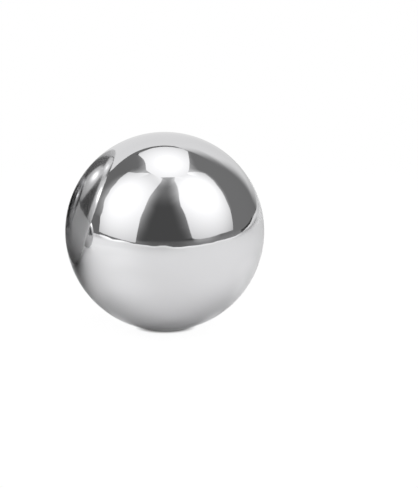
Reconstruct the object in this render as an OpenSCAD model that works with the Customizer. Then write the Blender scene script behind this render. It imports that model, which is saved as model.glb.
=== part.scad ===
// Polished steel ball, 60 mm.
// One solid sphere of steel, ground and mirror polished all over. It has no flat, hole or
// seam, so its one driving dimension is the diameter.
// The origin is the ball's centre, with +Z up. It touches a level surface at one point,
// (0, 0, -ball_d / 2), where a ring or cup holds it.

/* [Ball] */
// Diameter of the ball
ball_d = 60; // [10:1:150]

/* [Appearance] */
// Red, green and blue of the bare polished steel
steel_colour = [0.68, 0.68, 0.69]; // [0:0.01:1]

/* [Hidden] */
// Sides of the drawn sphere: enough to look round at any diameter in the range
ball_sides = 180;

// The whole object: a true sphere about the origin
module ball() {
    color(steel_colour)
        sphere(d = ball_d, $fn = ball_sides);
}

ball();
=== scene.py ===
"""Mirror-polished steel ball, with the small studio that it is shown in.

The ball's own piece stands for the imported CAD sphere, at the same radius. A mirror shows
what is around it, so the studio is built as real panels: three softboxes, a hanging paper
backdrop, a white table sheet, a dim room and two more balls beside this one.
"""

import math

import bmesh
import bpy
from bpy.props import FloatProperty, FloatVectorProperty, IntProperty, PointerProperty
from bpy.types import Operator, Panel, PropertyGroup
from mathutils import Euler, Matrix, Vector, noise


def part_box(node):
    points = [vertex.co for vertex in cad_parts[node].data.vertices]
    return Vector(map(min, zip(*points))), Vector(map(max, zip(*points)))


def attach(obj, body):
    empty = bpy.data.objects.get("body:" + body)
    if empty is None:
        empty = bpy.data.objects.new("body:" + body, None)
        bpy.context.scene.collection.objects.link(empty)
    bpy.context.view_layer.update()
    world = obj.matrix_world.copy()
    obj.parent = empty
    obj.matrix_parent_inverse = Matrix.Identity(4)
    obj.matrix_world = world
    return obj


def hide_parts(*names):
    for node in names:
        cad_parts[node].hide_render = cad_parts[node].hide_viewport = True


bl_info = {
    "name": "Polished Steel Ball",
    "version": (1, 0, 0),
    "blender": (4, 5, 0),
    "location": "3D View > Sidebar > Steel Ball",
    "description": "Makes a mirror-polished steel ball and the studio that it is shown in",
    "category": "Object",
}

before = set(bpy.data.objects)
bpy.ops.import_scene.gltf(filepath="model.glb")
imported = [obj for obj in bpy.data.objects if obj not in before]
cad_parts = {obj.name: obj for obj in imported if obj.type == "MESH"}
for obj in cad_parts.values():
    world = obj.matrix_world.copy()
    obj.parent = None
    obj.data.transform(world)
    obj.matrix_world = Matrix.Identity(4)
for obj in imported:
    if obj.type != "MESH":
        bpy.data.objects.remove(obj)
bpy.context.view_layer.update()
BALL_LOW, BALL_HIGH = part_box("ball")
BALL_CENTRE = (BALL_LOW + BALL_HIGH) / 2
BALL_RADIUS = (BALL_HIGH.z - BALL_LOW.z) / 2
GROUND = BALL_CENTRE.z - BALL_RADIUS

# Softboxes: the centre in metres, the turn about X, Y and Z in degrees, half the width and
# height in metres, the brightness of the cloth, the part of it lost for each half width from
# the spot, the brightness that the lamp adds there, where the spot is and how oval it is, all
# in half widths and half heights, and the outline in millimetres
SOFTBOXES = {
    "softbox_left": {
        "centre": (-0.433, -0.196, 0.367),
        "turn": (118.4, -4.9, 146.6),
        "half": (0.2915, 0.4195),
        "cloth": 1.85,
        "loss": 0.54,
        "lamp": 4.3,
        "spot": (-0.13, 0.03),
        "oval": 1.57,
        "outline": [
            (-292, -412),
            (328, -408),
            (296, -290),
            (300, -210),
            (264, -165),
            (262, -105),
            (296, -35),
            (297, 10),
            (275, 75),
            (282, 125),
            (246, 215),
            (256, 268),
            (220, 386),
            (200, 428),
            (46, 400),
            (-112, 438),
            (-325, 420),
            (-336, 340),
            (-327, 220),
            (-310, 90),
            (-311, -50),
            (-301, -150),
            (-303, -240),
            (-301, -320),
            (-298, -400),
        ],
    },
    "softbox_right": {
        "centre": (0.402, -0.186, 0.405),
        "turn": (110.4, 1.3, -141.9),
        "half": (0.305, 0.4115),
        "cloth": 2.01,
        "loss": 0.75,
        "lamp": 2.4,
        "spot": (0.18, 0.10),
        "oval": 1.26,
        "outline": [
            (-318, -405),
            (-45, -407),
            (90, -419),
            (205, -420),
            (258, -412),
            (286, -400),
            (298, -350),
            (304, -280),
            (312, -150),
            (325, -60),
            (312, 20),
            (286, 110),
            (268, 190),
            (260, 260),
            (254, 335),
            (218, 406),
            (120, 430),
            (-118, 430),
            (-181, 418),
            (-243, 402),
            (-284, 375),
            (-309, 215),
            (-294, 140),
            (-306, 30),
            (-298, -100),
            (-315, -200),
        ],
    },
    "softbox_top": {
        "centre": (0.023, 0.094, 0.592),
        "turn": (-178.0, 7.8, -174.7),
        "half": (0.1985, 0.2645),
        "cloth": 1.71,
        "loss": 0.39,
        "lamp": 1.2,
        "spot": (-0.04, -0.22),
        "oval": 1.24,
        "outline": [
            (-150, -258),
            (-38, -272),
            (98, -262),
            (171, -176),
            (200, -112),
            (185, -10),
            (187, 60),
            (213, 195),
            (198, 230),
            (98, 266),
            (0, 282),
            (-150, 278),
            (-198, 252),
            (-204, 120),
            (-212, 0),
            (-215, -110),
            (-206, -190),
        ],
    },
}

# How far the lamp shows through the cloth, in half widths, and how bright the cloth's back is
LAMP_REACH = 0.65
SOFTBOX_BACK = 0.05

# The top softbox's dark frame, past its back edge, in millimetres
TOP_FRAME = [
    (213, 195),
    (98, 266),
    (0, 282),
    (-120, 279),
    (-120, 297),
    (0, 302),
    (106, 288),
    (232, 218),
]

# Light that spills past the softboxes' edges: points along the edge, how far the light
# reaches past each to the side and up, in millimetres, and how strong it is there
SPILLS = [
    (
        "softbox_left",
        [
            (-325, 420, -110, 0, 0.20),
            (-336, 340, -120, 0, 0.20),
            (-327, 220, -120, 0, 0.22),
            (-310, 90, -120, 0, 0.52),
            (-311, 0, -120, 0, 0.50),
            (-311, -50, -130, 0, 0.44),
            (-301, -150, -130, 0, 0.38),
            (-303, -240, -130, 0, 0.24),
            (-301, -320, -120, 0, 0.14),
            (-298, -400, -110, 0, 0.12),
        ],
    ),
    (
        "softbox_left",
        [
            (300, -210, 300, 0, 0.05),
            (264, -165, 420, 0, 0.20),
            (262, -105, 450, 0, 0.28),
            (296, -35, 420, 0, 0.33),
            (297, 10, 420, 0, 0.38),
            (275, 75, 420, 0, 0.38),
            (282, 125, 400, 0, 0.36),
            (246, 215, 350, 0, 0.26),
            (256, 268, 320, 0, 0.20),
            (220, 386, 250, 0, 0.06),
        ],
    ),
    (
        "softbox_left",
        [
            (200, 428, 0, 130, 0.10),
            (120, 413, 0, 150, 0.20),
            (46, 400, 0, 170, 0.34),
            (-30, 418, 0, 150, 0.36),
            (-112, 438, 0, 120, 0.12),
        ],
    ),
    (
        "softbox_right",
        [
            (218, 406, 120, 0, 0.45),
            (254, 335, 130, 0, 0.48),
            (260, 260, 150, 0, 0.52),
            (268, 190, 170, 0, 0.56),
            (286, 110, 170, 0, 0.60),
            (312, 20, 150, 0, 0.50),
            (325, -60, 130, 0, 0.30),
            (312, -150, 140, 0, 0.26),
            (304, -280, 140, 0, 0.20),
            (286, -400, 120, 0, 0.14),
        ],
    ),
    (
        "softbox_right",
        [
            (-315, -200, -60, 0, 0.14),
            (-298, -100, -80, 0, 0.22),
            (-306, 30, -90, 0, 0.28),
            (-294, 140, -90, 0, 0.28),
            (-309, 215, -90, 0, 0.28),
            (-284, 375, -90, 0, 0.28),
            (-243, 402, -60, 60, 0.24),
            (-181, 418, -20, 170, 0.40),
            (-118, 430, 0, 180, 0.42),
            (20, 428, 0, 120, 0.10),
        ],
    ),
    (
        "softbox_right",
        [
            (286, -400, 0, -50, 0.08),
            (258, -412, 0, -60, 0.30),
            (205, -420, 0, -70, 0.34),
            (90, -419, 0, -70, 0.32),
            (-45, -407, 0, -60, 0.12),
        ],
    ),
    (
        "softbox_top",
        [
            (198, 225, 40, 0, 0.05),
            (187, 60, 60, 0, 0.18),
            (185, -10, 80, 0, 0.28),
            (200, -112, 130, 0, 0.35),
            (171, -176, 150, 0, 0.40),
        ],
    ),
    (
        "softbox_top",
        [
            (-198, 243, -40, 0, 0.05),
            (-204, 120, -50, 0, 0.14),
            (-212, 0, -80, 0, 0.20),
            (-215, -110, -160, 0, 0.40),
            (-206, -190, -190, 0, 0.60),
        ],
    ),
    (
        "softbox_top",
        [
            (171, -176, 60, -60, 0.10),
            (98, -262, 0, -180, 0.40),
            (-38, -272, 0, -180, 0.40),
            (-150, -258, 0, -60, 0.10),
        ],
    ),
]

# How far behind the ball's centre the paper backdrop hangs
BACKDROP_Y = 0.5

# The white sheet: how far it lies below the ground, and where its edge band of painted light
# starts, as a part of the way out to the edge. Its back edge, past the last of these, has no band
# behind it.
SHEET_DROP = 0.0002
SHEET_BAND = 0.78
SHEET_BACK = 0.4

# Height of the painted highlight along the sheet's front edge, how far its turned-up paper
# reaches above the rise given for it, and the height of the painted shade behind the right end
SHEET_EDGE_HIGHLIGHT = 0.004
SHEET_LIP = 0.0005
SHEET_SHADE_GAP = 0.024

# The floor that the camera sees: its radius, the distances at which it starts to fade and is
# gone, and those over which the ball's faint shadow on it ends
FLOOR_RADIUS = 0.35
FLOOR_FADE = (0.22, 0.34)
SHADOW_END = (0.02, 0.04)

# Distance from the contact point at which the painted contact shadow on the floor starts to
# lighten, and is white again. Lamps at both sides stretch the shadow sideways, so distances along X
# count for less.
CONTACT_SHADOW_DARK = 0.0045
CONTACT_SHADOW_EDGE = 0.0079
CONTACT_SHADOW_ACROSS = 0.8

# Soft lamps over the white sheet, which the ball doesn't reflect: the centre in metres, the turn
# about Z in degrees, the width and depth in metres and the power in watts. The first hangs over the
# left of the sheet, and the second over its far left corner, behind the left softbox.
SHEET_LAMPS = {
    "sheet_lamp_left": ((-0.30, -0.10, 0.50), 0.0, (0.6, 0.6), 0.32),
    "sheet_lamp_corner": ((-0.65, -0.44, 0.26), -35.0, (0.7, 0.2), 2.0),
}

# Glows on the white sheet: the middle, how far the full and the last light reach, in metres,
# and the brightness. They are what this ball and the two beside it throw back onto it, and
# what comes round the far side of each tall softbox.
SHEET_GLOWS = [
    ((-0.13, -0.08), 0.04, 0.116, 0.12),
    ((-0.055, -0.055), 0.0, 0.058, 0.08),
    ((-0.024, -0.034), 0.004, 0.026, 0.06),
    ((0.052, 0.020), 0.014, 0.040, 0.09),
    ((-0.147, 0.0), 0.012, 0.036, 0.20),
    ((0.036, 0.006), 0.004, 0.016, 0.05),
    ((0.014, -0.001), 0.002, 0.0095, 0.26),
    ((-0.014, -0.001), 0.002, 0.0095, 0.24),
    ((0.003, -0.005), 0.003, 0.009, 0.07),
    ((0.38, 0.42), 0.074, 0.359, 0.22),
    ((-0.62, -0.43), 0.04, 0.248, 0.28),
]

# Soft shades on the sheet, in front of the ball, under it and behind it: the middle, how far
# the full and the last shade reach, in metres, and the part of the light that is left
SHEET_SHADES = [
    ((-0.03, -0.25), 0.0, 0.157, 0.88),
    ((-0.015, -0.01), 0.004, 0.022, 0.93),
    ((0.01, 0.20), 0.04, 0.137, 0.70),
]

# Other balls beside this one: radius, distance from this ball, azimuth in degrees, and the
# tone painted near the foot, where the steel is darker as painted shade
SIDE_BALLS = {
    "side_ball_large": (0.0500, 0.0817, -65.3, 0.36),
    "side_ball_small": (0.0275, 0.1460, -88.8, 0.50),
}
SIDE_BALL_SQUARES = 48

# Radius of the dim room
ROOM_RADIUS = 2.5

# How far right of the ball's centre, and how far below it, the camera aims
AIM_ASIDE = 0.0133
AIM_BELOW = 0.0039


# ---------------------------------------------------------------- settings


class BallSettings(PropertyGroup):
    """Size and finish of the ball"""

    radius: FloatProperty(
        name="Radius",
        description="Radius of the ball, from the packed model",
        default=BALL_RADIUS,
        min=0.001,
        unit="LENGTH",
        precision=4,
    )
    squares: IntProperty(
        name="Squares",
        description="Squares along each of the six sides that the skin is built from",
        default=96,
        min=8,
        max=128,
    )
    wave_height: FloatProperty(
        name="Wave height",
        description="Height of the faint waves that polishing leaves in the surface",
        default=0.000008,
        min=0.0,
        unit="LENGTH",
        precision=6,
    )
    wave_length: FloatProperty(
        name="Wave length",
        description="Distance between those waves",
        default=0.010,
        min=0.001,
        unit="LENGTH",
        precision=4,
    )
    steel_colour: FloatVectorProperty(
        name="Steel colour",
        description="Colour that the polished steel gives to what it reflects",
        subtype="COLOR",
        size=3,
        min=0.0,
        max=1.0,
        default=(0.68, 0.68, 0.69),
    )
    roughness: FloatProperty(
        name="Roughness",
        description="Roughness of the clearest part of the polish",
        default=0.03,
        min=0.0,
        max=1.0,
    )
    haze: FloatProperty(
        name="Haze",
        description="Roughness added where the polish is at its haziest",
        default=0.03,
        min=0.0,
        max=1.0,
    )


class StudioSettings(PropertyGroup):
    """Camera, light and surroundings"""

    lens: FloatProperty(
        name="Lens",
        description="Focal length of the camera on a 36 mm sensor",
        default=100.0,
        min=10.0,
        unit="CAMERA",
    )
    camera_distance: FloatProperty(
        name="Camera distance",
        description="From the ball's centre to the camera",
        default=0.4102,
        min=0.1,
        unit="LENGTH",
        precision=4,
    )
    camera_height: FloatProperty(
        name="Camera height",
        description="Angle of the camera above the level of the ball's centre",
        default=math.radians(11.5),
        subtype="ANGLE",
    )
    softbox_light: FloatProperty(
        name="Softboxes",
        description="Brightness of all three softboxes against their usual one",
        default=1.0,
        min=0.0,
    )
    backdrop_light: FloatProperty(
        name="Backdrop",
        description="Brightness of the lit paper backdrop, where 1 is white",
        default=1.01,
        min=0.0,
    )
    room_light: FloatProperty(
        name="Room",
        description="Brightness of the dim room around the table, where 1 is white",
        default=0.225,
        min=0.0,
    )
    sheet_colour: FloatVectorProperty(
        name="Sheet colour",
        description="Colour of the white sheet on the table",
        subtype="COLOR",
        size=3,
        min=0.0,
        max=1.0,
        default=(0.93, 0.93, 0.93),
    )
    sheet_lamps: FloatProperty(
        name="Sheet lamps",
        description="Power of the lamps over the sheet against their usual one",
        default=1.0,
        min=0.0,
    )
    sheet_fill: FloatProperty(
        name="Sheet fill",
        description="Light that the room gives the sheet from every side, where 1 is white",
        default=0.02,
        min=0.0,
    )


# ---------------------------------------------------------------- helpers


def add_node(tree, kind, inputs=None, **settings):
    """Adds one shader node. An input is a plain value, or the socket that feeds it."""
    node = tree.nodes.new(kind)
    for name, value in settings.items():
        setattr(node, name, value)
    for name, value in (inputs or {}).items():
        if isinstance(value, bpy.types.NodeSocket):
            tree.links.new(value, node.inputs[name])
        else:
            node.inputs[name].default_value = value
    return node


def new_material(name):
    """A material with an empty node tree."""
    material = bpy.data.materials.new(name)
    material.use_nodes = True
    material.node_tree.nodes.clear()
    return material, material.node_tree


def finish_material(tree, shader):
    """Feeds a shader socket to the material's surface."""
    add_node(tree, "ShaderNodeOutputMaterial", {"Surface": shader})


def math_node(tree, operation, first, second=0.0, clamp=False):
    """The value of a two-input Math node."""
    node = add_node(tree, "ShaderNodeMath", {0: first, 1: second}, operation=operation)
    node.use_clamp = clamp
    return node.outputs["Value"]


def smooth_range(tree, value, start, end, low=0.0, high=1.0):
    """A value that runs smoothly from low, at start, to high, at end."""
    node = add_node(
        tree,
        "ShaderNodeMapRange",
        {"Value": value, "From Min": start, "From Max": end, "To Min": low, "To Max": high},
        interpolation_type="SMOOTHSTEP",
    )
    return node.outputs["Result"]


def mixed(tree, factor, first, second):
    """A value that is first where the factor is 0, and second where it is 1."""
    inputs = {"Factor": factor, "A": first, "B": second}
    return add_node(tree, "ShaderNodeMix", inputs, data_type="FLOAT").outputs["Result"]


def coordinates(tree, kind):
    """The place of each point of the surface, in the given kind of coordinates."""
    return add_node(tree, "ShaderNodeTexCoord").outputs[kind]


def axes(tree, vector):
    """The X, Y and Z sockets of a vector, by name."""
    return add_node(tree, "ShaderNodeSeparateXYZ", {"Vector": vector}).outputs


def length_of(tree, vector):
    """The length of a vector."""
    node = add_node(tree, "ShaderNodeVectorMath", {0: vector}, operation="LENGTH")
    return node.outputs["Value"]


def glow(tree, strength):
    """The shader socket of an even white light."""
    return add_node(tree, "ShaderNodeEmission", {"Strength": strength}).outputs["Emission"]


def both_shaders(tree, first, second):
    """The shader socket of two shaders added together."""
    return add_node(tree, "ShaderNodeAddShader", {0: first, 1: second}).outputs["Shader"]


def plain_light(name, strength):
    """A material of one even brightness."""
    material, tree = new_material(name)
    finish_material(tree, glow(tree, strength))
    return material


def link_mesh(name, mesh_maker, material):
    """Puts what a bmesh holds into the scene as one object with one material."""
    mesh = bpy.data.meshes.new(name)
    mesh_maker.to_mesh(mesh)
    mesh_maker.free()
    mesh.materials.append(material)
    made = bpy.data.objects.new(name, mesh)
    bpy.context.scene.collection.objects.link(made)
    return made


def flat_panel(name, points, material):
    """A flat sheet whose outline is the given points."""
    maker = bmesh.new()
    maker.faces.new([maker.verts.new(point) for point in points])
    maker.normal_update()
    return link_mesh(name, maker, material)


def ringed_panel(name, outer, inner, material):
    """A sheet with an edge band. The UV map's X is 1 at the outline and 0 within the band."""
    maker = bmesh.new()
    uv = maker.loops.layers.uv.new("UVMap")
    rim = [maker.verts.new(point) for point in outer]
    middle = [maker.verts.new(point) for point in inner]
    maker.faces.new(middle)
    for here in range(len(rim)):
        after = (here + 1) % len(rim)
        face = maker.faces.new([rim[here], rim[after], middle[after], middle[here]])
        for loop in face.loops:
            loop[uv].uv = (1.0 if loop.vert in rim else 0.0, 0.0)
    maker.normal_update()
    return link_mesh(name, maker, material)


def standing_strip(name, points, height, material):
    """A strip of one height that stands on the given points."""
    maker = bmesh.new()
    low = [maker.verts.new(point) for point in points]
    high = [maker.verts.new((x, y, z + height)) for x, y, z in points]
    for here in range(len(points) - 1):
        maker.faces.new([low[here], low[here + 1], high[here + 1], high[here]])
    return link_mesh(name, maker, material)


def stage_for_mirror(made):
    """Hides a piece from the camera, while reflections and soft light still see it."""
    made.visible_camera = False


def in_metres(x, y):
    """A point of a softbox's plan, which is drawn in millimetres."""
    return (x / 1000, y / 1000, 0)


# ---------------------------------------------------------------- ball


def cube_sphere(radius, squares):
    """A sphere made of six square grids, with a UV map that keeps each grid apart."""
    maker = bmesh.new()
    uv = maker.loops.layers.uv.new("OFBake")
    sides = [
        (Vector((1, 0, 0)), Vector((0, 1, 0))),
        (Vector((0, 1, 0)), Vector((-1, 0, 0))),
        (Vector((-1, 0, 0)), Vector((0, -1, 0))),
        (Vector((0, -1, 0)), Vector((1, 0, 0))),
        (Vector((0, 0, 1)), Vector((0, 1, 0))),
        (Vector((0, 0, -1)), Vector((0, 1, 0))),
    ]
    margin = 0.01
    width = 1 / 3 - 2 * margin
    height = 1 / 2 - 2 * margin
    for number, (outward, across) in enumerate(sides):
        up = outward.cross(across)
        grid = []
        for row in range(squares + 1):
            line = []
            for column in range(squares + 1):
                a = math.tan((column / squares - 0.5) * math.pi / 2)
                b = math.tan((row / squares - 0.5) * math.pi / 2)
                point = (outward + across * a + up * b).normalized() * radius
                line.append(maker.verts.new(point))
            grid.append(line)
        left = number % 3 / 3 + margin
        bottom = number // 3 / 2 + margin
        for row in range(squares):
            for column in range(squares):
                corners = [(row, column), (row, column + 1), (row + 1, column + 1), (row + 1, column)]
                face = maker.faces.new([grid[r][c] for r, c in corners])
                face.smooth = True
                for loop, (r, c) in zip(face.loops, corners):
                    loop[uv].uv = (left + width * c / squares, bottom + height * r / squares)
    bmesh.ops.remove_doubles(maker, verts=maker.verts, dist=radius * 1e-5)
    return maker


def polish_waves(maker, radius, height, length):
    """Moves each point in or out by the few thousandths of a millimetre that polishing leaves."""
    finer = 2.7
    lower = 0.3
    apart = Vector((7.0, 3.0, 5.0))
    for vert in maker.verts:
        outward = vert.co.normalized()
        broad = noise.noise(vert.co / length)
        fine = noise.noise(vert.co / length * finer + apart)
        vert.co = outward * (radius + height * (broad + lower * fine))


def polished_steel(settings):
    """Bare steel with a mirror polish, which is a little hazier in some patches than in others."""
    material, tree = new_material("Polished steel")
    place = coordinates(tree, "Object")
    patches = add_node(
        tree,
        "ShaderNodeTexNoise",
        {"Vector": place, "Scale": 110.0, "Detail": 3.0, "Roughness": 0.55},
    )
    haze = smooth_range(tree, patches.outputs["Fac"], 0.35, 0.70, 0.0, settings.haze)
    rough = math_node(tree, "ADD", haze, settings.roughness)
    tone = add_node(
        tree,
        "ShaderNodeTexNoise",
        {"Vector": place, "Scale": 45.0, "Detail": 2.0},
    )
    colour = tuple(settings.steel_colour)
    steel = add_node(
        tree,
        "ShaderNodeMix",
        {
            "Factor": tone.outputs["Fac"],
            "A": tuple(0.99 * c for c in colour) + (1.0,),
            "B": tuple(1.01 * c for c in colour) + (1.0,),
        },
        data_type="RGBA",
    )
    shader = add_node(
        tree,
        "ShaderNodeBsdfPrincipled",
        {
            "Base Color": steel.outputs["Result"],
            "Metallic": 1.0,
            "Roughness": rough,
            "Specular Tint": (0.80, 0.80, 0.80, 1.0),
        },
    )
    finish_material(tree, shader.outputs["BSDF"])
    return material


def make_ball(settings):
    """The ball: a true sphere with the faintest waves, in place of the CAD node."""
    maker = cube_sphere(settings.radius, settings.squares)
    polish_waves(maker, settings.radius, settings.wave_height, settings.wave_length)
    bmesh.ops.translate(maker, verts=maker.verts, vec=BALL_CENTRE)
    ball = link_mesh("polished_ball", maker, polished_steel(settings))
    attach(ball, "root")
    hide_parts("ball")


# ---------------------------------------------------------------- studio


def softbox_cloth(name, plan, power):
    """Lit softbox cloth, brightest where the UV map is (0, 0), and dark behind."""
    material, tree = new_material(name)
    reach = length_of(tree, coordinates(tree, "UV"))
    lost = math_node(tree, "MULTIPLY", reach, plan["loss"] * power)
    cloth = math_node(tree, "SUBTRACT", plan["cloth"] * power, lost)
    lamp = smooth_range(tree, reach, LAMP_REACH, 0.0, 0.0, plan["lamp"] * power)
    front = glow(tree, math_node(tree, "ADD", cloth, lamp))
    back = glow(tree, SOFTBOX_BACK)
    side = add_node(tree, "ShaderNodeNewGeometry").outputs["Backfacing"]
    mix = add_node(tree, "ShaderNodeMixShader", {0: side, 1: front, 2: back})
    finish_material(tree, mix.outputs["Shader"])
    return material


def place_softbox_part(made, plan):
    """Moves a part drawn about a softbox's own middle to where the softbox hangs."""
    angles = Euler([math.radians(angle) for angle in plan["turn"]])
    made.matrix_world = Matrix.Translation(plan["centre"]) @ angles.to_matrix().to_4x4()
    stage_for_mirror(made)


def make_softbox(name, plan, power):
    """A lit cloth panel, whose lit side faces along its own +Z."""
    half_width, half_height = plan["half"]
    spot_across, spot_up = plan["spot"]
    maker = bmesh.new()
    uv = maker.loops.layers.uv.new("UVMap")
    face = maker.faces.new([maker.verts.new(in_metres(x, y)) for x, y in plan["outline"]])
    for loop in face.loops:
        across = loop.vert.co.x / half_width - spot_across
        up = loop.vert.co.y / half_height - spot_up
        loop[uv].uv = (across, up * plan["oval"])
    cloth = softbox_cloth(name + "_cloth", plan, power)
    place_softbox_part(link_mesh(name, maker, cloth), plan)


def spilled_light():
    """A glow laid over what is behind it. It fades along the UV map's X, and Y is its strength."""
    material, tree = new_material("Spilled light")
    uv = axes(tree, coordinates(tree, "UV"))
    faded = math_node(tree, "POWER", uv["X"], 2.0)
    light = math_node(tree, "MULTIPLY", faded, uv["Y"])
    clear = add_node(tree, "ShaderNodeBsdfTransparent").outputs["BSDF"]
    finish_material(tree, both_shaders(tree, glow(tree, light), clear))
    material.cycles.emission_sampling = "NONE"
    return material


def make_spill(name, plan, edge, material):
    """The strip of spilled light along one edge of a softbox."""
    maker = bmesh.new()
    uv = maker.loops.layers.uv.new("UVMap")
    near = []
    far = []
    strength = {}
    for x, y, aside, up, power in edge:
        near.append(maker.verts.new(in_metres(x, y)))
        far.append(maker.verts.new(in_metres(x + aside, y + up)))
        strength[near[-1]] = (1.0, power)
        strength[far[-1]] = (0.0, power)
    for here in range(len(edge) - 1):
        face = maker.faces.new([near[here], near[here + 1], far[here + 1], far[here]])
        for loop in face.loops:
            loop[uv].uv = strength[loop.vert]
    place_softbox_part(link_mesh(name, maker, material), plan)


def make_top_frame(plan):
    """The dark frame that shows past the top softbox's back edge."""
    points = [in_metres(x, y) for x, y in TOP_FRAME]
    panel = flat_panel("softbox_top_frame", points, plain_light("Dark frame", 0.13))
    place_softbox_part(panel, plan)


def backdrop_paper(strength):
    """Lit paper that darkens along the UV map's X. It has a little painted shade near its foot,
    and a little painted light low down in the middle."""
    material, tree = new_material("Backdrop paper")
    across = axes(tree, coordinates(tree, "UV"))["X"]
    place = axes(tree, coordinates(tree, "Object"))
    side = smooth_range(tree, across, 0.0, 1.0, strength, 0.235 * strength)
    # Painted shade near the foot, and below it painted light low down in the middle
    foot_shade = smooth_range(tree, place["Z"], -0.02, 0.10, 0.75, 1.0)
    low = smooth_range(tree, place["Z"], 0.15, 0.50, 0.09, 0.0)
    middle = smooth_range(tree, place["X"], 0.02, 0.20, 1.0, 0.0)
    lift = math_node(tree, "ADD", math_node(tree, "MULTIPLY", low, middle), 1.0)
    light = math_node(tree, "MULTIPLY", math_node(tree, "MULTIPLY", side, foot_shade), lift)
    finish_material(tree, glow(tree, light))
    return material


def make_backdrop(strength):
    """White paper hung behind the ball. Its top edge sags between clips, and its right side
    falls out of the light."""
    left = [(-0.95, -0.03), (-0.95, 0.76), (-0.77, 0.86), (-0.63, 0.835), (-0.45, 0.79)]
    sag = [(-0.34, 0.75), (-0.20, 0.715), (0.0, 0.695)]
    lit = [
        (0.10, 0.705),
        (0.13, 0.64),
        (0.18, 0.58),
        (0.28, 0.50),
        (0.33, 0.42),
        (0.31, 0.34),
        (0.28, 0.26),
        (0.25, 0.12),
        (0.20, 0.05),
        (0.20, -0.03),
    ]
    dark = [
        (0.57, 0.70),
        (0.585, 0.64),
        (0.585, 0.58),
        (0.575, 0.50),
        (0.555, 0.42),
        (0.55, 0.34),
        (0.535, 0.26),
        (0.51, 0.12),
        (0.53, 0.05),
        (0.53, -0.03),
    ]
    maker = bmesh.new()
    uv = maker.loops.layers.uv.new("UVMap")
    dimness = {}

    def points(places, level):
        made = [maker.verts.new((x, BACKDROP_Y, z)) for x, z in places]
        dimness.update((point, level) for point in made)
        return made

    bright = points(left + sag, 0.0)
    inner = points(lit, 0.0)
    outer = points(dark, 1.0)
    corner = points([(0.25, 0.80)], 0.60) + points([(0.50, 0.79)], 1.0)
    maker.faces.new(bright + inner)
    maker.faces.new([inner[0], corner[0], corner[1]])
    maker.faces.new([inner[0], corner[1], outer[0]])
    for here in range(len(inner) - 1):
        maker.faces.new([inner[here], outer[here], outer[here + 1], inner[here + 1]])
    for face in maker.faces:
        for loop in face.loops:
            loop[uv].uv = (dimness[loop.vert], 0.0)
    maker.normal_update()
    stage_for_mirror(link_mesh("backdrop", maker, backdrop_paper(strength)))


def sheet_paper(settings):
    """White paper with its painted glows and shades, and painted light along its cut edge."""
    material, tree = new_material("White sheet")
    across = axes(tree, coordinates(tree, "UV"))["X"]
    # Painted light: a band along the sheet's cut edge glows brighter
    edge = math_node(tree, "POWER", across, 3.0)
    painted_edge_light = math_node(tree, "MULTIPLY", edge, 0.28)
    fill = math_node(tree, "ADD", painted_edge_light, settings.sheet_fill)
    place = coordinates(tree, "Object")

    def patch(middle, near, far, inside, outside):
        spot = (*middle, GROUND)
        away = add_node(tree, "ShaderNodeVectorMath", {0: place, 1: spot}, operation="DISTANCE")
        return smooth_range(tree, away.outputs["Value"], near, far, inside, outside)

    for middle, near, far, strength in SHEET_GLOWS:
        fill = math_node(tree, "ADD", fill, patch(middle, near, far, strength, 0.0))
    colour = tuple(settings.sheet_colour)
    for middle, near, far, left in SHEET_SHADES:
        colour = add_node(
            tree,
            "ShaderNodeVectorMath",
            {0: colour, "Scale": patch(middle, near, far, left, 1.0)},
            operation="SCALE",
        ).outputs["Vector"]
    matt = add_node(tree, "ShaderNodeBsdfDiffuse", {"Color": colour}).outputs["BSDF"]
    finish_material(tree, both_shaders(tree, glow(tree, fill), matt))
    return material


def make_table(settings):
    """The white sheet that the ball reflects. Its left end curls up gently."""
    level = GROUND - SHEET_DROP
    front = [
        (-0.85, -0.18, 0.029),
        (-0.85, -0.28, 0.032),
        (-0.83, -0.37, 0.0225),
        (-0.80, -0.46, 0.002),
        (-0.68, -0.57, 0.009),
        (-0.42, -0.485, 0.006),
        (-0.27, -0.385, 0.002),
        (-0.155, -0.385, 0.0),
        (-0.115, -0.363, 0.0),
        (-0.074, -0.316, 0.0),
        (-0.050, -0.322, 0.0),
        (-0.031, -0.375, 0.0),
        (0.000, -0.385, 0.0),
        (0.022, -0.324, 0.0),
        (0.041, -0.270, 0.0),
        (0.080, -0.258, 0.0),
        (0.128, -0.270, 0.0),
        (0.147, -0.257, 0.0),
        (0.195, -0.243, 0.0),
        (0.231, -0.244, 0.0),
        (0.282, -0.213, 0.0),
        (0.352, -0.218, 0.0),
        (0.380, -0.190, 0.0),
        (0.500, -0.052, 0.0),
        (0.600, 0.030, 0.0),
        (0.650, 0.055, 0.0),
    ]
    back = [
        (0.810, 0.150, 0.0),
        (0.830, 0.550, 0.0),
        (-0.95, 0.55, 0.030),
        (-0.88, -0.01, 0.026),
    ]
    outer = []
    inner = []
    for x, y, rise in front + back:
        outer.append((x, y, level + rise))
        inner.append((SHEET_BAND * x, SHEET_BAND * y if y < SHEET_BACK else y, level))
    stage_for_mirror(ringed_panel("table_sheet", outer, inner, sheet_paper(settings)))
    # Painted highlight: a strip along the sheet's front edge glows as if catching the softboxes'
    # light
    bright = plain_light("Bright paper edge", 1.25)
    stage_for_mirror(standing_strip("sheet_edge_highlight", outer[: len(front)], SHEET_EDGE_HIGHLIGHT, bright))
    make_sheet_curl(level)


def turned_up_paper():
    """Lit paper that is brighter the further up the UV map's X says it is."""
    material, tree = new_material("Turned-up paper")
    up = axes(tree, coordinates(tree, "UV"))["X"]
    light = smooth_range(tree, up, 0.0, 0.8, 0.56, 1.02)
    finish_material(tree, glow(tree, light))
    return material


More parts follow.
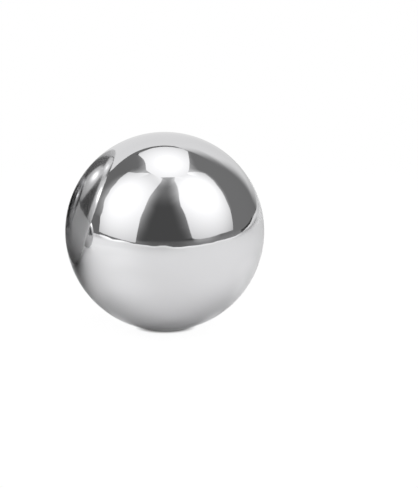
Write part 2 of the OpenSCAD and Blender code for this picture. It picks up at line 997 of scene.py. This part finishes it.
def make_sheet_curl(level):
    """The sheet's right end and back edge, which turn up steeply. Behind the end stands a thin strip
    of painted shade, and where it turns up most its foot is in painted shadow."""
    end = [
        (0.65, 0.055, 0.003, 0.6, 1.0),
        (0.81, 0.155, 0.0056, 0.5, 1.0),
        (0.83, 0.22, 0.012, 0.4, 1.0),
        (0.83, 0.29, 0.0195, 0.35, 1.0),
        (0.83, 0.38, 0.026, 0.3, 1.0),
        (0.83, 0.49, 0.042, 0.2, 1.0),
    ]
    back = [
        (0.66, 0.49, 0.048, 0.0, 1.0),
        (0.57, 0.49, 0.045, 0.1, 1.0),
        (0.49, 0.49, 0.040, 0.5, 0.7),
        (0.40, 0.49, 0.036, 0.5, 0.5),
        (0.0, 0.49, 0.032, 0.5, 0.5),
    ]
    maker = bmesh.new()
    uv = maker.loops.layers.uv.new("UVMap")
    low = []
    high = []
    top = []
    light = {}
    for x, y, rise, foot_light, top_light in end + back:
        top.append((x, y, level + rise + SHEET_LIP))
        low.append(maker.verts.new((x, y, level)))
        high.append(maker.verts.new(top[-1]))
        light[low[-1]] = foot_light
        light[high[-1]] = top_light
    for here in range(len(top) - 1):
        face = maker.faces.new([low[here], low[here + 1], high[here + 1], high[here]])
        for loop in face.loops:
            loop[uv].uv = (light[loop.vert], 0.0)
    stage_for_mirror(link_mesh("sheet_curl", maker, turned_up_paper()))
    # Painted shade: a thin dark strip stands behind the sheet's right end
    dark = plain_light("Dark gap", 0.05)
    stage_for_mirror(standing_strip("sheet_shade_gap", top[: len(end)], SHEET_SHADE_GAP, dark))


def make_sheet_lamps(strength):
    """The lamps over the white sheet, which the ball doesn't reflect."""
    for name, (centre, turn, (width, depth), power) in SHEET_LAMPS.items():
        data = bpy.data.lights.new(name, "AREA")
        data.shape = "RECTANGLE"
        data.size = width
        data.size_y = depth
        data.energy = power * strength
        lamp = bpy.data.objects.new(name, data)
        bpy.context.scene.collection.objects.link(lamp)
        lamp.location = centre
        lamp.rotation_euler = (0.0, 0.0, math.radians(turn))
        lamp.visible_camera = False
        lamp.visible_glossy = False


def white_floor():
    """White, with the ball's faint shadow near it, and a painted contact shadow where the ball all
    but touches it.
    It is clear from below and past its edge."""
    material, tree = new_material("White floor")
    place = coordinates(tree, "Object")
    reach = length_of(tree, place)
    edge = smooth_range(tree, reach, *FLOOR_FADE)
    back = add_node(tree, "ShaderNodeNewGeometry").outputs["Backfacing"]
    clear = math_node(tree, "MAXIMUM", edge, back)
    squeezed = add_node(
        tree,
        "ShaderNodeVectorMath",
        {0: place, 1: (CONTACT_SHADOW_ACROSS, 1.0, 1.0)},
        operation="MULTIPLY",
    ).outputs["Vector"]
    near = length_of(tree, squeezed)
    # Painted contact shadow: the floor's glow is dark near the contact point and white further out
    light = smooth_range(tree, near, CONTACT_SHADOW_DARK, CONTACT_SHADOW_EDGE, 0.10, 0.95)
    lift = smooth_range(tree, reach, *SHADOW_END, 0.0, 0.06)
    lit = glow(tree, math_node(tree, "ADD", light, lift))
    shaded = smooth_range(tree, reach, *SHADOW_END, 0.10, 0.0)
    matt = add_node(tree, "ShaderNodeBsdfDiffuse", {"Color": shaded}).outputs["BSDF"]
    white = both_shaders(tree, lit, matt)
    gone = add_node(tree, "ShaderNodeBsdfTransparent").outputs["BSDF"]
    mix = add_node(tree, "ShaderNodeMixShader", {0: clear, 1: white, 2: gone})
    finish_material(tree, mix.outputs["Shader"])
    return material


def make_floor():
    """The pale floor that the camera sees, and the ball doesn't reflect."""
    maker = bmesh.new()
    bmesh.ops.create_circle(maker, cap_ends=True, radius=FLOOR_RADIUS, segments=96)
    floor = link_mesh("floor", maker, white_floor())
    floor.location = (0, 0, GROUND)
    floor.visible_glossy = False
    floor.visible_diffuse = False
    floor.visible_transmission = False
    floor.visible_shadow = False


def dim_walls(strength):
    """Walls that are darker on the left, and darkest low down in front, over a floor that is
    lighter than the front wall."""
    material, tree = new_material("Dim room")
    place = coordinates(tree, "Object")
    way = add_node(tree, "ShaderNodeVectorMath", {0: place}, operation="NORMALIZE").outputs["Vector"]
    toward = axes(tree, way)
    front = smooth_range(tree, toward["Y"], -0.3, -0.7)
    low = smooth_range(tree, toward["Z"], 0.92, 0.60, 1.0, 0.38)
    left = smooth_range(tree, toward["X"], -0.1, -0.6, 1.0, 0.82)
    walls = mixed(tree, front, left, low)
    aside = math_node(tree, "ABSOLUTE", toward["X"])
    floor_light = smooth_range(tree, aside, 0.2, 0.7, 0.63, 1.20)
    floor_part = smooth_range(tree, toward["Z"], 0.02, -0.03)
    tone = mixed(tree, floor_part, walls, floor_light)
    finish_material(tree, glow(tree, math_node(tree, "MULTIPLY", tone, strength)))
    material.cycles.emission_sampling = "NONE"
    return material


def make_room(strength):
    """The dim room: a wide dome around the table."""
    maker = bmesh.new()
    bmesh.ops.create_uvsphere(maker, u_segments=48, v_segments=24, radius=ROOM_RADIUS)
    stage_for_mirror(link_mesh("room", maker, dim_walls(strength)))


def duller_steel_shaded_below(name, foot_shade):
    """Slightly hazy steel with painted shade: its colour is darker below. Its last argument is the
    tone painted there.
    """
    material, tree = new_material(name)
    height = axes(tree, coordinates(tree, "Generated"))["Z"]
    # Painted shade: the base colour darkens towards the bottom of the ball
    tone = smooth_range(tree, height, 0.33, 0.73, foot_shade, 0.60)
    shader = add_node(
        tree,
        "ShaderNodeBsdfPrincipled",
        {"Base Color": tone, "Metallic": 0.85, "Roughness": 0.14},
    )
    finish_material(tree, shader.outputs["BSDF"])
    return material


def make_side_balls():
    """Two more balls on the table, which only this ball's reflection shows."""
    for name, (radius, distance, azimuth, foot_shade) in SIDE_BALLS.items():
        steel = duller_steel_shaded_below("Duller steel " + name.split("_")[-1], foot_shade)
        ball = link_mesh(name, cube_sphere(radius, SIDE_BALL_SQUARES), steel)
        angle = math.radians(azimuth)
        ball.location = (distance * math.sin(angle), distance * math.cos(angle), GROUND + radius)
        ball.visible_transmission = False
        stage_for_mirror(ball)


def make_camera(settings):
    """The camera, a little above the ball, with the ball left of the middle."""
    data = bpy.data.cameras.new("camera")
    data.lens = settings.lens
    camera = bpy.data.objects.new("camera", data)
    bpy.context.scene.collection.objects.link(camera)
    height = settings.camera_height
    back = Vector((0, -math.cos(height), math.sin(height)))
    up = Vector((0, math.sin(height), math.cos(height)))
    aim = BALL_CENTRE + Vector((1, 0, 0)) * AIM_ASIDE - up * AIM_BELOW
    camera.location = BALL_CENTRE + back * settings.camera_distance
    camera.rotation_euler = (aim - camera.location).to_track_quat("-Z", "Y").to_euler()
    bpy.context.scene.camera = camera


def make_world():
    """White behind everything that the camera, a reflection or a clear piece looks past."""
    world = bpy.data.worlds.new("White surround")
    world.use_nodes = True
    tree = world.node_tree
    tree.nodes.clear()
    ray = add_node(tree, "ShaderNodeLightPath")
    seen = math_node(tree, "ADD", ray.outputs["Is Camera Ray"], ray.outputs["Is Glossy Ray"])
    seen = math_node(tree, "ADD", seen, ray.outputs["Is Transmission Ray"], clamp=True)
    white = add_node(tree, "ShaderNodeBackground", {"Color": (1, 1, 1, 1), "Strength": seen})
    add_node(tree, "ShaderNodeOutputWorld", {"Surface": white.outputs["Background"]})
    bpy.context.scene.world = world


# ---------------------------------------------------------------- add-on


class STEELBALL_OT_make_ball(Operator):
    """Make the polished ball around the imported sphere"""

    bl_idname = "steelball.make_ball"
    bl_label = "Make Ball"

    def execute(self, context):
        make_ball(context.scene.steel_ball)
        return {"FINISHED"}


class STEELBALL_OT_make_stage(Operator):
    """Make the camera, the light, the floor and the surroundings"""

    bl_idname = "steelball.make_stage"
    bl_label = "Make Stage"

    def execute(self, context):
        settings = context.scene.steel_studio
        context.scene.view_settings.view_transform = "Standard"
        make_camera(settings)
        make_world()
        for name, plan in SOFTBOXES.items():
            make_softbox(name, plan, settings.softbox_light)
        spill = spilled_light()
        for number, (name, edge) in enumerate(SPILLS):
            make_spill("%s_spill_%d" % (name, number), SOFTBOXES[name], edge, spill)
        make_top_frame(SOFTBOXES["softbox_top"])
        make_backdrop(settings.backdrop_light)
        make_table(settings)
        make_sheet_lamps(settings.sheet_lamps)
        make_floor()
        make_room(settings.room_light)
        make_side_balls()
        return {"FINISHED"}


class STEELBALL_PT_sidebar(Panel):
    """Sizes, finish and light, with a button for each step"""

    bl_label = "Steel Ball"
    bl_space_type = "VIEW_3D"
    bl_region_type = "UI"
    bl_category = "Steel Ball"

    def draw(self, context):
        layout = self.layout
        for group in (context.scene.steel_ball, context.scene.steel_studio):
            column = layout.column()
            for name in group.bl_rna.properties.keys():
                if name not in {"rna_type", "name"}:
                    column.prop(group, name)
        layout.operator(STEELBALL_OT_make_ball.bl_idname)
        layout.operator(STEELBALL_OT_make_stage.bl_idname)


CLASSES = (
    BallSettings,
    StudioSettings,
    STEELBALL_OT_make_ball,
    STEELBALL_OT_make_stage,
    STEELBALL_PT_sidebar,
)


def register():
    """Makes the settings, the steps and the panel known to Blender."""
    for one in CLASSES:
        bpy.utils.register_class(one)
    bpy.types.Scene.steel_ball = PointerProperty(type=BallSettings)
    bpy.types.Scene.steel_studio = PointerProperty(type=StudioSettings)


def unregister():
    """Takes them away again."""
    del bpy.types.Scene.steel_studio
    del bpy.types.Scene.steel_ball
    for one in reversed(CLASSES):
        bpy.utils.unregister_class(one)


def main():
    """Makes the ball and its studio."""
    register()
    bpy.ops.steelball.make_ball()
    bpy.ops.steelball.make_stage()


if __name__ == "__main__":
    main()
